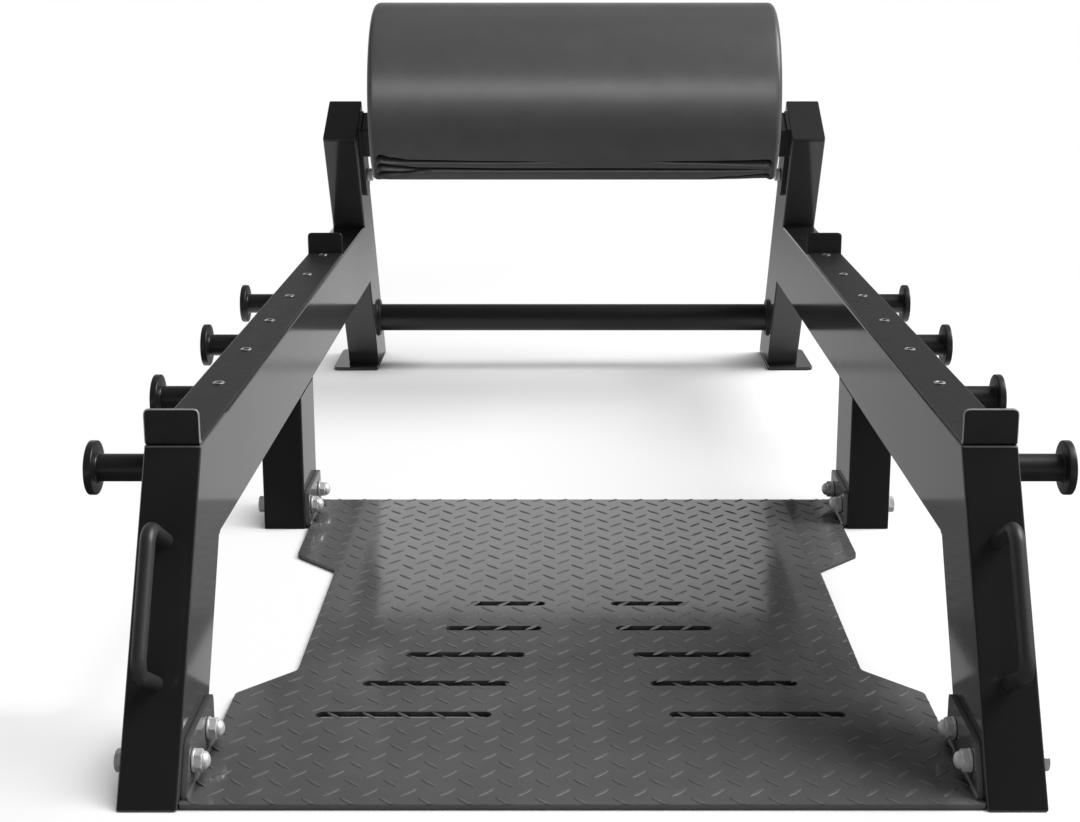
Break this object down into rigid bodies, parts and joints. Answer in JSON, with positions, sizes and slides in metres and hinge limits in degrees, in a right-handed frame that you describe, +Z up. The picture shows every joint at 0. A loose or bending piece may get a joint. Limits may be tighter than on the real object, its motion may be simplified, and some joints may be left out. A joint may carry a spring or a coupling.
{
  "type": "hip thrust bench",
  "caption": "Low hip thrust bench: a round roll pad between leaning uprights, bar rails with stops, band pegs, front grab handles and a slotted tread plate for the feet.",
  "frame": {"origin": "on the floor under the middle of the object's box", "axes": "+X to the right as seen from the tread plate, +Y from the tread plate towards the roll pad, +Z up"},
  "size_m": [0.915, 1.6445, 0.6152],
  "materials": {
    "frame_paint": "satin",
    "liner_paint": "matte",
    "tread_paint": "satin",
    "pad_vinyl": "satin",
    "zinc": "polished",
    "foot_plastic": "matte",
    "core_wood": "matte"
  },
  "bodies": {
    "root": {"front_leg_left": "frame_paint", "front_leg_right": "frame_paint", "front_foot_plug_left": "foot_plastic", "front_foot_plug_right": "foot_plastic", "mid_leg_left": "frame_paint", "mid_leg_right": "frame_paint", "mid_foot_plug_left": "foot_plastic", "mid_foot_plug_right": "foot_plastic", "side_rail_left": "frame_paint", "side_rail_right": "frame_paint", "rail_liner_left": "liner_paint", "rail_liner_right": "liner_paint", "upright_left": "frame_paint", "upright_right": "frame_paint", "upright_cap_left": "frame_paint", "upright_cap_right": "frame_paint", "base_plate_left": "frame_paint", "base_plate_right": "frame_paint", "cross_tube": "frame_paint", "cross_collar_left": "frame_paint", "cross_collar_right": "frame_paint", "band_peg_left_1": "frame_paint", "band_peg_left_2": "frame_paint", "band_peg_left_3": "frame_paint", "band_peg_left_4": "frame_paint", "band_peg_right_1": "frame_paint", "band_peg_right_2": "frame_paint", "band_peg_right_3": "frame_paint", "band_peg_right_4": "frame_paint", "handle_left": "frame_paint", "handle_right": "frame_paint", "tread_plate": "tread_paint", "front_ear_bolt_left_1": "zinc", "front_ear_nut_left_1": "zinc", "front_ear_bolt_left_2": "zinc", "front_ear_nut_left_2": "zinc", "front_ear_bolt_right_1": "zinc", "front_ear_nut_right_1": "zinc", "front_ear_bolt_right_2": "zinc", "front_ear_nut_right_2": "zinc", "mid_ear_bolt_left_1": "zinc", "mid_ear_nut_left_1": "zinc", "mid_ear_bolt_left_2": "zinc", "mid_ear_nut_left_2": "zinc", "mid_ear_bolt_right_1": "zinc", "mid_ear_nut_right_1": "zinc", "mid_ear_bolt_right_2": "zinc", "mid_ear_nut_right_2": "zinc", "pad_beam": "frame_paint", "pad_end_plate_left": "frame_paint", "pad_end_plate_right": "frame_paint", "pad_bolt_left": "zinc", "pad_bolt_right": "zinc", "pad_core_board": "core_wood", "board_bolt_left": "zinc", "board_bolt_right": "zinc", "pad_cushion": "pad_vinyl"}
  },
  "joints": []
}
